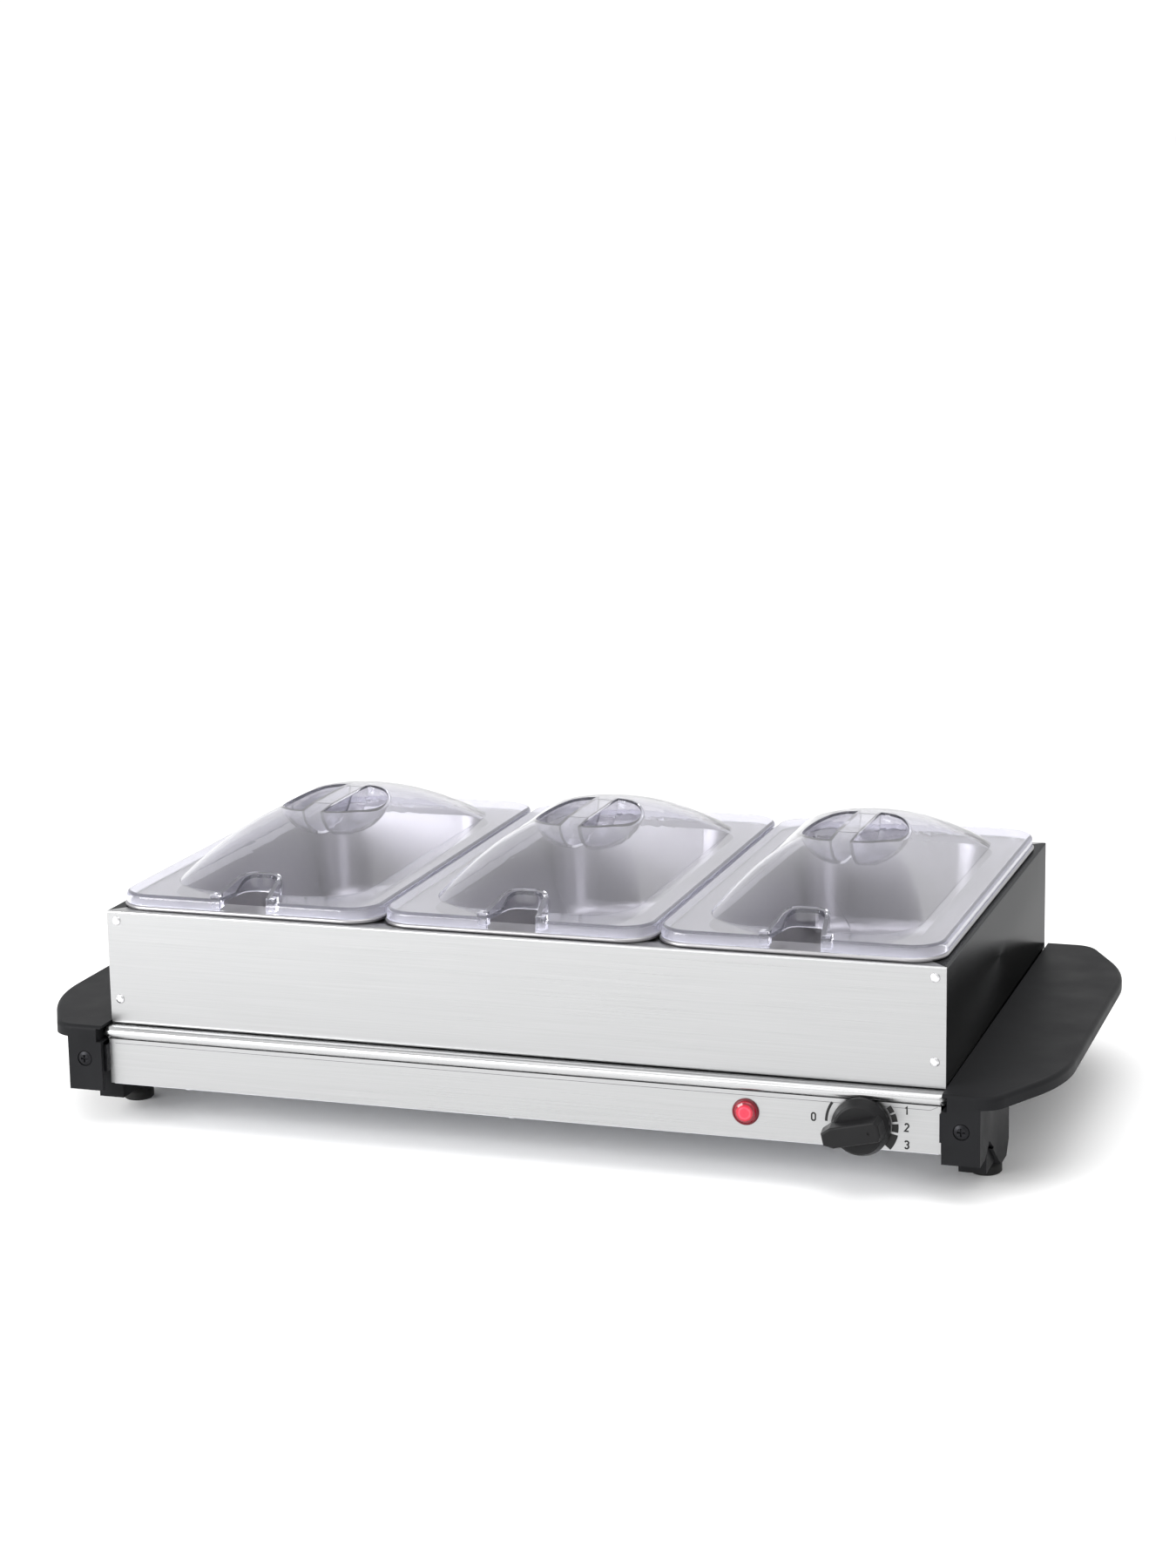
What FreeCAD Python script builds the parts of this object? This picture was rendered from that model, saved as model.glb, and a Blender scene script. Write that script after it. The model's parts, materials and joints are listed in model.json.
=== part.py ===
"""Electric buffet server: a low warming unit, a lift-off pan frame, three pans and three lids.

Millimetres, +Z up, +X to the user's right, the user stands at -Y. The origin is on the
surface that the feet stand on, under the middle of the whole object's box.
"""
import FreeCAD, Part
import math
import os
import Sketcher
from FreeCAD import Matrix, Placement, Rotation, Vector

DIMENSIONS = [
    ("sheet", 0.8, "gauge of every folded steel panel"),
    ("base_y", 5.0, "middle of the warming unit, front to back"),
    ("base_w", 494.8, "warming unit over its end walls"),
    ("base_d", 308.4, "warming unit over its front and rear panels"),
    ("base_low", 28.2, "underside of the front and rear panels"),
    ("base_top", 55.1, "top of the front and rear panels"),
    ("base_flange", 11.0, "folded edge of the front and rear panels"),
    ("plate_w", 503.2, "warming plate, side to side"),
    ("plate_d", 312.0, "warming plate over its rolled noses"),
    ("plate_low", 55.2, "underside of the rolled nose"),
    ("plate_top", 62.2, "warming face"),
    ("plate_skin", 1.2, "thickness of the warming face"),
    ("plate_rim", 5.5, "width of the rolled nose"),
    ("frame_w", 497.0, "pan frame, side to side"),
    ("frame_d", 299.0, "pan frame, front to back"),
    ("frame_y", 7.2, "middle of the pan frame, front to back"),
    ("frame_low", 62.5, "underside of the pan frame"),
    ("frame_top", 131.0, "top edge of the pan frame"),
    ("frame_flange", 10.5, "folded top edge of the frame's four sides"),
    ("frame_foot", 8.0, "folded lower edge of the frame's front and rear"),
    ("frame_bend", 1.4, "outer bend of the frame's folds"),
    ("rivet_in", 6.1, "rivet centre from the frame's side"),
    ("rivet_high", 124.8, "height of the upper rivets"),
    ("rivet_low", 77.6, "height of the lower rivets"),
    ("rivet_r", 2.7, "rivet head"),
    ("divider_w", 22.0, "width of the bars between the pans"),
    ("divider_tall", 11.0, "height of the bars between the pans"),
    ("pan_pitch", 163.7, "centre to centre of neighbouring pans"),
    ("pan_w", 163.0, "pan rim, side to side"),
    ("pan_d", 291.0, "pan rim, front to back"),
    ("pan_y", 6.3, "middle of the pans, front to back"),
    ("pan_corner", 20.0, "corner of the pan rim"),
    ("pan_roll", 2.6, "diameter of the rolled rim"),
    ("pan_low", 131.05, "underside of the rolled rim"),
    ("pan_flange", 20.0, "flat flange of the pan, roll included"),
    ("pan_deep", 58.0, "depth of the pan below its flange"),
    ("pan_skin", 0.8, "gauge of the pan"),
    ("pan_draft", 8.0, "slope of the pan's walls, in degrees"),
    ("bowl_corner", 28.0, "corner of the pan's opening"),
    ("bowl_floor", 12.0, "curve between the pan's wall and floor"),
    ("lid_w", 161.4, "lid, side to side"),
    ("lid_d", 289.5, "lid, front to back"),
    ("lid_corner", 19.5, "corner of the lid"),
    ("lid_low", 133.75, "lower edge of the lid's skirt"),
    ("lid_skirt", 6.5, "height of the lid's skirt"),
    ("lid_skin", 1.8, "wall of the lid"),
    ("lid_flange", 20.0, "flat flange of the lid"),
    ("dome_tall", 32.2, "rise of the dome above the flange"),
    ("notch_front", 30.0, "spoon notch, width at the lid's edge"),
    ("notch_back", 20.0, "spoon notch, width at its inner end"),
    ("notch_deep", 31.0, "spoon notch, front to back"),
    ("notch_rib", 2.6, "thickness of the rib round the spoon notch"),
    ("grip_bar", 14.0, "bar between the two finger wells"),
    ("well_w", 24.0, "finger well, from the bar outwards"),
    ("well_d", 72.0, "finger well, front to back"),
    ("well_deep", 22.0, "finger well, below the top of the dome"),
    ("handle_in", 249.2, "inner face of the end handles"),
    ("handle_out", 307.0, "outer edge of the end handles"),
    ("handle_half", 162.0, "half the length of an end handle"),
    ("handle_top", 64.2, "top of the end handles"),
    ("handle_lip", 7.2, "thickness of the wing"),
    ("wing_x", 30.0, "width of the wing's slanted corner"),
    ("wing_y", 57.0, "length of the wing's slanted corner"),
    ("leg_out", 270.4, "outer face of the legs"),
    ("leg_d", 82.2, "length of each leg along the handle"),
    ("leg_low", 25.2, "underside of the legs"),
    ("leg_wall", 3.2, "wall of the legs"),
    ("foot_x", 260.3, "centre of the feet, side to side"),
    ("foot_y", 94.4, "centre of the feet from the unit's middle"),
    ("foot_r", 9.2, "foot pad"),
    ("foot_tall", 7.4, "height of the foot pads"),
    ("screw_x", 260.0, "handle screws, side to side"),
    ("screw_z", 44.2, "handle screws, height"),
    ("knob_x", 204.1, "control knob, side to side"),
    ("knob_z", 41.4, "control knob, height"),
    ("knob_r", 16.2, "skirt of the control knob"),
    ("knob_tall", 17.8, "knob from its back to the top of its bar"),
    ("knob_gap", 2.0, "knob's back in front of the panel"),
    ("shaft_r", 2.9, "thermostat shaft"),
    ("lamp_x", 138.6, "indicator lamp, side to side"),
    ("lamp_z", 43.2, "indicator lamp, height"),
    ("lamp_r", 7.6, "bezel of the indicator lamp"),
    ("bush_x", 168.0, "cord bush, side to side"),
    ("bush_z", 41.6, "cord bush, height"),
    ("bush_bore", 3.7, "bore of the cord bush"),
    ("bush_out", 9.8, "cord bush outside the rear panel"),
]

doc = FreeCAD.newDocument("buffet_server")
dims = doc.addObject("Spreadsheet::Sheet", "Dims")
for line, (alias, value, meaning) in enumerate(DIMENSIONS, start=1):
    dims.set(f"A{line}", meaning)
    dims.set(f"B{line}", str(value))
    dims.setAlias(f"B{line}", alias)
doc.recompute()

NODES = []


def size(alias):
    """A driving dimension, read from the sheet."""
    return float(dims.get(alias))


def node(piece, label):
    """Keep a finished piece under its own label."""
    piece.Label = label
    NODES.append(piece)
    return piece


# ---- shared builders ------------------------------------------------------------------

def place(piece, x="0", y="0", z="0", turn=None):
    """Put a piece at a place ruled by the sheet."""
    if turn is not None:
        piece.Placement = Placement(Vector(0, 0, 0), turn)
    for axis, text in zip("xyz", (x, y, z)):
        piece.setExpression(f"Placement.Base.{axis}", text)


def body(name):
    return doc.addObject("PartDesign::Body", name)


def sketch(owner, role, lift="0"):
    """A sketch on one of a body's own origin planes, lifted along the plane's normal."""
    plane = next(f for f in owner.Origin.OriginFeatures if f.Role == role)
    drawing = owner.newObject("Sketcher::SketchObject", f"{owner.Name}_sketch")
    drawing.AttachmentSupport = [(plane, "")]
    drawing.MapMode = "FlatFace"
    drawing.setExpression("AttachmentOffset.Base.z", lift)
    return drawing


def pin_point(drawing, line, across, up, start=(1.0, 1.0)):
    """Hold a point of a piece of geometry, drawn at a starting place, at a ruled one."""
    for kind, text, value in (("DistanceX", across, start[0]), ("DistanceY", up, start[1])):
        held = drawing.addConstraint(Sketcher.Constraint(kind, -1, 1, line[0], line[1], value))
        drawing.setExpression(f"Constraints[{held}]", text)


def polygon(drawing, points):
    """A closed outline of straight lines through ruled points."""
    first = drawing.GeometryCount
    count = len(points)
    ring = [Vector(10 * math.cos(2 * math.pi * i / count), 10 * math.sin(2 * math.pi * i / count), 0)
            for i in range(count)]
    for i in range(count):
        drawing.addGeometry(Part.LineSegment(ring[i], ring[(i + 1) % count]), False)
    for i in range(count):
        drawing.addConstraint(
            Sketcher.Constraint("Coincident", first + i, 2, first + (i + 1) % count, 1))
    for i, (across, up) in enumerate(points):
        pin_point(drawing, (first + i, 1), across, up)


def rectangle(drawing, left, right, low, high):
    polygon(drawing, [(left, low), (right, low), (right, high), (left, high)])


def rounded(drawing, half_w, half_d, radius):
    """A rectangle about the sketch's origin with equal round corners."""
    first = drawing.GeometryCount
    reach, start = 100, 80
    corners = [(1, -1), (1, 1), (-1, 1), (-1, -1)]
    for i, (x, y) in enumerate(corners):
        ahead = corners[(i + 1) % 4]
        middle = Vector(start * x, start * y, 0)
        swing = math.radians(90 * i)
        ring = Part.Circle(middle, Vector(0, 0, 1), reach - start)
        drawing.addGeometry(Part.ArcOfCircle(ring, swing - math.pi / 2, swing), False)
        side = Vector(x if x == ahead[0] else 0, y if y == ahead[1] else 0, 0) * (reach - start)
        drawing.addGeometry(
            Part.LineSegment(middle + side, Vector(start * ahead[0], start * ahead[1], 0) + side), False)
    for i in range(4):
        arc, line, following = first + 2 * i, first + 2 * i + 1, first + (2 * i + 2) % 8
        drawing.addConstraint(Sketcher.Constraint("Tangent", arc, 2, line, 1))
        drawing.addConstraint(Sketcher.Constraint("Tangent", line, 2, following, 1))
        if i:
            drawing.addConstraint(Sketcher.Constraint("Equal", first, arc))
    held = drawing.addConstraint(Sketcher.Constraint("Radius", first, 20.0))
    drawing.setExpression(f"Constraints[{held}]", radius)
    pin_point(drawing, (first + 4, 3), f"-({half_w} - {radius})", f"{half_d} - {radius}", (-start, start))
    pin_point(drawing, (first, 3), f"{half_w} - {radius}", f"-({half_d} - {radius})", (start, -start))
    for way, line in (("Vertical", 1), ("Horizontal", 3), ("Vertical", 5), ("Horizontal", 7)):
        drawing.addConstraint(Sketcher.Constraint(way, first + line))


def circle(drawing, across, up, radius):
    ring = drawing.addGeometry(Part.Circle(Vector(1, 1, 0), Vector(0, 0, 1), 3), False)
    pin_point(drawing, (ring, 3), across, up)
    held = drawing.addConstraint(Sketcher.Constraint("Radius", ring, 3.0))
    drawing.setExpression(f"Constraints[{held}]", radius)


def grow(kind, owner, drawing, length, **options):
    """A pad or pocket of a sketch."""
    feature = owner.newObject(f"PartDesign::{kind}", f"{owner.Name}_{kind.lower()}")
    feature.Profile = drawing
    for name, value in options.items():
        setattr(feature, name, value)
    if length is not None:
        feature.setExpression("Length", length)
    doc.recompute()
    return feature


def pad(owner, drawing, length, **options):
    return grow("Pad", owner, drawing, length, **options)


def pocket(owner, drawing, length, **options):
    """A pocket, which must take material away."""
    before = owner.Shape.Volume
    feature = grow("Pocket", owner, drawing, length, **options)
    if not feature.Shape.Volume < before - 1e-3:
        raise RuntimeError(f"{feature.Name} cuts nothing")
    return feature


def revolve(owner, points):
    """A solid of revolution about Z from a ruled half outline of (radius, height)."""
    drawing = sketch(owner, "XZ_Plane")
    polygon(drawing, points)
    feature = owner.newObject("PartDesign::Revolution", f"{owner.Name}_revolution")
    feature.Profile = drawing
    feature.ReferenceAxis = (drawing, ["V_Axis"])
    feature.Angle = 360
    doc.recompute()
    return feature


def soften(owner, radius, chosen):
    """Round the edges of the body's tip that a test picks."""
    base = owner.Tip
    edges = [f"Edge{i}" for i, edge in enumerate(base.Shape.Edges, start=1) if chosen(edge.BoundBox)]
    if not edges:
        raise RuntimeError(f"{owner.Name}: no edge to soften")
    feature = owner.newObject("PartDesign::Fillet", f"{owner.Name}_fillet")
    feature.Base = (base, edges)
    feature.setExpression("Radius", radius)
    doc.recompute()
    return feature


def primitive(kind, owner, name, turn=None, spot=("0", "0", "0"), **sizes):
    """An additive or subtractive primitive inside a body."""
    feature = owner.newObject(f"PartDesign::{kind}", name)
    place(feature, *spot, turn=turn)
    for prop, text in sizes.items():
        feature.setExpression(prop, text)
    doc.recompute()
    return feature


def box(name, x, y, z):
    """A box from three pairs of ruled (low, high) faces."""
    piece = doc.addObject("Part::Box", name)
    for prop, (low, high) in zip(("Length", "Width", "Height"), (x, y, z)):
        piece.setExpression(prop, f"({high}) - ({low})")
    place(piece, x[0], y[0], z[0])
    return piece


def cylinder(name, radius, length, spot, turn=None):
    piece = doc.addObject("Part::Cylinder", name)
    piece.setExpression("Radius", radius)
    piece.setExpression("Height", length)
    place(piece, *spot, turn=turn)
    return piece


def fuse(name, pieces):
    joined = doc.addObject("Part::MultiFuse", name)
    joined.Shapes = pieces
    return joined


def cut(name, base, tool):
    left = doc.addObject("Part::Cut", name)
    left.Base, left.Tool = base, tool
    return left


def copies(name, master, spots):
    """One group of identical solids: the master, linked at each ruled place."""
    links = []
    for spot, turn in spots:
        link = doc.addObject("App::Link", f"{name}_copy")
        link.LinkedObject = master
        place(link, *spot, turn=turn)
        links.append(link)
    group = doc.addObject("Part::Compound", name)
    group.Links = links
    return node(group, name)


def near(value, target):
    return abs(value - target) < 0.05


def upright(edge):
    """An edge that runs along Z."""
    return edge.XLength < 0.01 and edge.YLength < 0.01


PLATE_SCREWS = (-200, 0, 200)
TO_FRONT = Rotation(Vector(1, 0, 0), 90)
TO_BACK = Rotation(Vector(1, 0, 0), -90)
KNOB_SET = TO_FRONT.multiply(Rotation(Vector(0, 0, 1), 13))
FRONT = "(Dims.base_y - Dims.base_d / 2)"
REAR = "(Dims.base_y + Dims.base_d / 2)"
FRAME_FRONT = "(Dims.frame_y - Dims.frame_d / 2)"
FRAME_REAR = "(Dims.frame_y + Dims.frame_d / 2)"


# ---- warming unit: plate and box ------------------------------------------------------

def warming_plate():
    """A flat plate with a rolled nose all round, open underneath."""
    plate = body("warming_plate")
    outline = sketch(plate, "XY_Plane", "Dims.plate_low")
    rectangle(outline, "-Dims.plate_w / 2", "Dims.plate_w / 2",
              "Dims.base_y - Dims.plate_d / 2", "Dims.base_y + Dims.plate_d / 2")
    pad(plate, outline, "Dims.plate_top - Dims.plate_low")
    soften(plate, "5", upright)
    soften(plate, "(Dims.plate_top - Dims.plate_low) / 2 - 0.1", lambda edge: edge.ZLength < 0.01)
    hollow = sketch(plate, "XY_Plane", "Dims.plate_low")
    rectangle(hollow, "-Dims.plate_w / 2 + Dims.plate_rim", "Dims.plate_w / 2 - Dims.plate_rim",
              "Dims.base_y - Dims.plate_d / 2 + Dims.plate_rim",
              "Dims.base_y + Dims.plate_d / 2 - Dims.plate_rim")
    pocket(plate, hollow, "Dims.plate_top - Dims.plate_low - Dims.plate_skin", Reversed=True)
    node(plate, "warming_plate")


def channel(name, face, inward, holes):
    """A front or rear panel: a folded channel along X, its open side inwards, with round holes."""
    panel = body(name)
    profile = sketch(panel, "YZ_Plane")
    inner = f"{face} {inward} Dims.sheet"
    edge = f"{face} {inward} Dims.base_flange"
    polygon(profile, [
        (face, "Dims.base_low"), (edge, "Dims.base_low"), (edge, "Dims.base_low + Dims.sheet"),
        (inner, "Dims.base_low + Dims.sheet"), (inner, "Dims.base_top - Dims.sheet"),
        (edge, "Dims.base_top - Dims.sheet"), (edge, "Dims.base_top"), (face, "Dims.base_top")])
    pad(panel, profile, "Dims.base_w - 2 * Dims.sheet", Midplane=True)
    punched = sketch(panel, "XZ_Plane", f"-{face}")
    for hole in holes:
        circle(punched, *hole)
    pocket(panel, punched, "4 * Dims.sheet", Midplane=True)
    drilled = sketch(panel, "XY_Plane", "Dims.base_low")
    for x in PLATE_SCREWS:
        circle(drilled, f"{x}", f"{face} {inward} 6", "1.4")
    pocket(panel, drilled, "4 * Dims.sheet", Midplane=True)
    node(panel, name)


def base_box():
    channel("front_panel", FRONT, "+", [
        ("Dims.lamp_x", "Dims.lamp_z", "6.1"), ("Dims.knob_x", "Dims.knob_z", "4.2"),
        ("Dims.knob_x - 9.5", "Dims.knob_z", "1.6"), ("Dims.knob_x + 9.5", "Dims.knob_z", "1.6")])
    channel("rear_panel", REAR, "-", [("Dims.bush_x", "Dims.bush_z", "6.4")])
    for side, label in (("-", "left_end_wall"), ("", "right_end_wall")):
        inner = f"{side}(Dims.base_w / 2 - Dims.sheet)"
        outer = f"{side}(Dims.base_w / 2)"
        x = (outer, inner) if side else (inner, outer)
        node(box(label, x, (FRONT, REAR), ("Dims.base_low", "Dims.base_top")), label)


def bottom_plate():
    """The closing plate, with rows of vent slots."""
    plate = body("bottom_plate")
    outline = sketch(plate, "XY_Plane", "Dims.base_low - Dims.sheet")
    rectangle(outline, "-Dims.base_w / 2 + 1.5", "Dims.base_w / 2 - 1.5", f"{FRONT} + 1.5", f"{REAR} - 1.5")
    pad(plate, outline, "Dims.sheet")
    slots = sketch(plate, "XY_Plane", "Dims.base_low")
    for row in range(-4, 5):
        for bank in (-120, 120):
            middle = f"({bank} + {row} * 12)"
            rectangle(slots, f"{middle} - 2", f"{middle} + 2", "Dims.base_y - 20", "Dims.base_y + 20")
    for x in PLATE_SCREWS:
        circle(slots, f"{x}", f"{FRONT} + 6", "1.4")
        circle(slots, f"{x}", f"{REAR} - 6", "1.4")
    pocket(plate, slots, "2 * Dims.sheet")
    node(plate, "bottom_plate")
    screw = small_screw("plate_screw", "2.9", "1.4", "1.3", "1.8")
    flat = Rotation(Vector(1, 0, 0), 180)
    spots = [((f"{x}", f"{face} {inward} 6", "Dims.base_low - Dims.sheet"), flat)
             for x in PLATE_SCREWS for face, inward in ((FRONT, "+"), (REAR, "-"))]
    copies("bottom_plate_screws", screw, spots)


def small_screw(name, head_r, head_tall, shank_r, shank_tall):
    """A cross-slotted screw: head above z = 0, shank below it."""
    screw = body(name)
    revolve(screw, [("0", f"-{shank_tall}"), (shank_r, f"-{shank_tall}"), (shank_r, "0"), (head_r, "0"),
                    (head_r, f"{head_tall} * 0.55"), (f"{head_r} * 0.6", head_tall), ("0", head_tall)])
    cross = sketch(screw, "XY_Plane", head_tall)
    arm, half = f"{head_r} * 0.55", f"{head_r} * 0.11"
    polygon(cross, [
        (f"-{half}", f"-{half}"), (f"-{half}", f"-{arm}"), (half, f"-{arm}"), (half, f"-{half}"),
        (arm, f"-{half}"), (arm, half), (half, half), (half, arm),
        (f"-{half}", arm), (f"-{half}", half), (f"-{arm}", half), (f"-{arm}", f"-{half}")])
    pocket(screw, cross, f"{head_tall} * 0.7")
    return screw


# ---- warming unit: end handles and feet -----------------------------------------------

def end_handles():
    """The right handle is built and the left one mirrors it."""
    grip = body("handle_right_body")
    front, rear = "Dims.base_y - Dims.handle_half", "Dims.base_y + Dims.handle_half"
    wing = sketch(grip, "XY_Plane", "Dims.handle_top - Dims.handle_lip")
    polygon(wing, [
        ("Dims.handle_in", front), ("Dims.handle_out - Dims.wing_x", front),
        ("Dims.handle_out", f"{front} + Dims.wing_y"), ("Dims.handle_out", f"{rear} - Dims.wing_y"),
        ("Dims.handle_out - Dims.wing_x", rear), ("Dims.handle_in", rear)])
    pad(grip, wing, "Dims.handle_lip")
    corner_x = size("handle_out") - size("wing_x")
    soften(grip, "16", lambda edge: upright(edge) and near(edge.XMin, corner_x))
    soften(grip, "108", lambda edge: upright(edge) and near(edge.XMin, size("handle_out")))

    leg_top = "Dims.handle_top - Dims.handle_lip"
    ends = ((front, f"{front} + Dims.leg_d"), (f"{rear} - Dims.leg_d", rear))
    for low, high in ends:
        leg = sketch(grip, "XY_Plane", "Dims.leg_low")
        rectangle(leg, "Dims.handle_in", "Dims.leg_out", low, high)
        pad(grip, leg, f"{leg_top} - Dims.leg_low + 0.5")
    web = sketch(grip, "XY_Plane", "Dims.leg_low + 8")
    rectangle(web, "Dims.handle_in", "Dims.handle_in + Dims.leg_wall",
              f"{front} + Dims.leg_d - 1", f"{rear} - Dims.leg_d + 1")
    pad(grip, web, f"{leg_top} - Dims.leg_low - 7.5")

    # The flared neck over each foot hangs below the leg, flush with its outer face.
    for sign in ("-", "+"):
        neck = sketch(grip, "YZ_Plane", "Dims.handle_in + 1.2")
        middle = f"Dims.base_y {sign} Dims.foot_y"
        end = f"Dims.base_y {sign} (Dims.handle_half - Dims.leg_d)"
        away = "-" if sign == "-" else "+"
        back = "+" if sign == "-" else "-"
        polygon(neck, [
            (f"{middle} {away} 36", "Dims.leg_low + 2"), (end, "Dims.leg_low + 2"),
            (end, "Dims.leg_low - 10"), (f"{middle} {back} 8", "Dims.foot_tall"),
            (f"{middle} {away} 8", "Dims.foot_tall")])
        pad(grip, neck, "Dims.leg_out - Dims.handle_in - 1.2")

    # Hollow of each leg in front of its neck, open towards the unit and below.
    for sign in ("-", "+"):
        away = "-" if sign == "-" else "+"
        hollow = sketch(grip, "XY_Plane", "Dims.leg_low - 6")
        outer = f"Dims.base_y {sign} (Dims.handle_half - Dims.leg_wall)"
        inner = f"Dims.base_y {sign} (Dims.foot_y + 20)"
        low, high = (outer, inner) if sign == "-" else (inner, outer)
        rectangle(hollow, "Dims.handle_in - 1", "Dims.leg_out - Dims.leg_wall", low, high)
        pocket(grip, hollow, f"{leg_top} - Dims.leg_low + 3", Reversed=True)
        slit = sketch(grip, "YZ_Plane", "Dims.leg_out + 1")
        apex = f"Dims.base_y {sign} (Dims.foot_y + 42)"
        polygon(slit, [(f"{apex} {away} 13", "Dims.leg_low - 1"), (apex, "Dims.leg_low + 7"),
                       (f"Dims.base_y {sign} (Dims.foot_y + 29)", "Dims.leg_low - 1")])
        pocket(grip, slit, "Dims.leg_wall + 1.5")

    # The toe of each neck reaches forward under the leg.
    for sign in ("-", "+"):
        toe = sketch(grip, "XY_Plane", "Dims.foot_tall + 3.6")
        tip, heel = f"Dims.base_y {sign} (Dims.foot_y + 36)", f"Dims.base_y {sign} Dims.foot_y"
        low, high = (tip, heel) if sign == "-" else (heel, tip)
        rectangle(toe, "Dims.handle_in + 3", "Dims.leg_out - Dims.leg_wall + 0.5", low, high)
        pad(grip, toe, "20")

    # A groove along the inner side takes the warming plate's nose.
    groove = sketch(grip, "XZ_Plane")
    rectangle(groove, "Dims.handle_in - 1", "Dims.plate_w / 2 + 0.5", "Dims.plate_low - 0.5",
              "Dims.plate_top + 0.5")
    pocket(grip, groove, "3 * Dims.handle_half", Midplane=True)

    # Round the lip over the legs, then drill for the handle screws and the foot screws.
    top, inner_x = size("handle_top"), size("handle_in")
    soften(grip, "2.6", lambda edge: near(edge.ZMin, top) and near(edge.ZMax, top)
           and not near(edge.XMax, inner_x))
    for sign, turn in (("-", TO_BACK), ("+", TO_FRONT)):
        face = f"Dims.base_y {sign} Dims.handle_half"
        step = f"Dims.base_y {sign} (Dims.handle_half + 1)"
        primitive("SubtractiveCylinder", grip, "screw_seat", turn, ("Dims.screw_x", step, "Dims.screw_z"),
                  Radius="4.6", Height="2.2")
        primitive("SubtractiveCylinder", grip, "screw_hole", turn, ("Dims.screw_x", face, "Dims.screw_z"),
                  Radius="2.2", Height="Dims.leg_wall + 1")
        primitive("SubtractiveCylinder", grip, "foot_hole", None,
                  ("Dims.foot_x", f"Dims.base_y {sign} Dims.foot_y", "Dims.foot_tall - 1"),
                  Radius="1.8", Height="16")
    node(grip, "right_handle")
    twin = doc.addObject("Part::Mirroring", "left_handle")
    twin.Source = grip
    twin.Normal = Vector(1, 0, 0)
    node(twin, "left_handle")


def handle_brackets():
    """Angle brackets on the end walls; each handle screw bites into one of their tabs."""
    parts = []
    wall = ("Dims.base_w / 2", "Dims.base_w / 2 + 1.2")
    reach = ("Dims.base_w / 2", "Dims.screw_x + 6")
    height = ("Dims.screw_z - 8", "Dims.screw_z + 8")
    for side in ("-", ""):
        for sign in ("-", "+"):
            face = f"Dims.base_y {sign} (Dims.handle_half - Dims.leg_wall - 0.4)"
            back = f"Dims.base_y {sign} (Dims.handle_half - Dims.leg_wall - 1.6)"
            rear = f"Dims.base_y {sign} (Dims.handle_half - Dims.leg_wall - 20)"
            pair = [sorted_pair(side, reach, sign, face, back, height),
                    sorted_pair(side, wall, sign, face, rear, height)]
            angle = fuse("bracket", [box("leaf", *leaf) for leaf in pair])
            hole = cylinder("bracket_hole", "1.9", "6",
                            (f"{side}Dims.screw_x", f"{face} {sign} 2", "Dims.screw_z"),
                            TO_BACK if sign == "-" else TO_FRONT)
            parts.append(cut("bracket_drilled", angle, hole))
    group = doc.addObject("Part::Compound", "handle_brackets")
    group.Links = parts
    node(group, "handle_brackets")

    screw = small_screw("handle_screw", "4.1", "1.7", "1.8", "9")
    turns = {"-": TO_FRONT, "+": TO_BACK}
    spots = [((f"{side}Dims.screw_x", f"Dims.base_y {sign} (Dims.handle_half - 1.2)", "Dims.screw_z"),
              turns[sign]) for side in ("-", "") for sign in ("-", "+")]
    copies("handle_screws", screw, spots)


def sorted_pair(side, x, sign, near_face, far_face, z):
    """Low and high faces of a box on either side of the middle planes."""
    across = (x[0], x[1]) if not side else (f"-({x[1]})", f"-({x[0]})")
    along = (near_face, far_face) if sign == "-" else (far_face, near_face)
    return across, along, z


def feet():
    """Four rubber pads, each held by a screw up into its neck."""
    corners = [("front_left", "-", "-"), ("front_right", "", "-"),
               ("rear_left", "-", "+"), ("rear_right", "", "+")]
    spots = []
    for name, side, sign in corners:
        foot = body(f"foot_{name}")
        revolve(foot, [
            ("1.8", "3"), ("4", "3"), ("4", "0"), ("Dims.foot_r - 1", "0"), ("Dims.foot_r", "1"),
            ("Dims.foot_r", "Dims.foot_tall - 2.4"), ("Dims.foot_r - 1.6", "Dims.foot_tall"),
            ("1.8", "Dims.foot_tall")])
        spot = (f"{side}Dims.foot_x", f"Dims.base_y {sign} Dims.foot_y", "0")
        place(foot, *spot)
        node(foot, f"foot_{name}")
        spots.append(((spot[0], spot[1], "3"), Rotation(Vector(1, 0, 0), 180)))
    copies("foot_screws", small_screw("foot_screw", "3.4", "1.6", "1.6", "14"), spots)


# ---- warming unit: heater --------------------------------------------------------------

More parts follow.
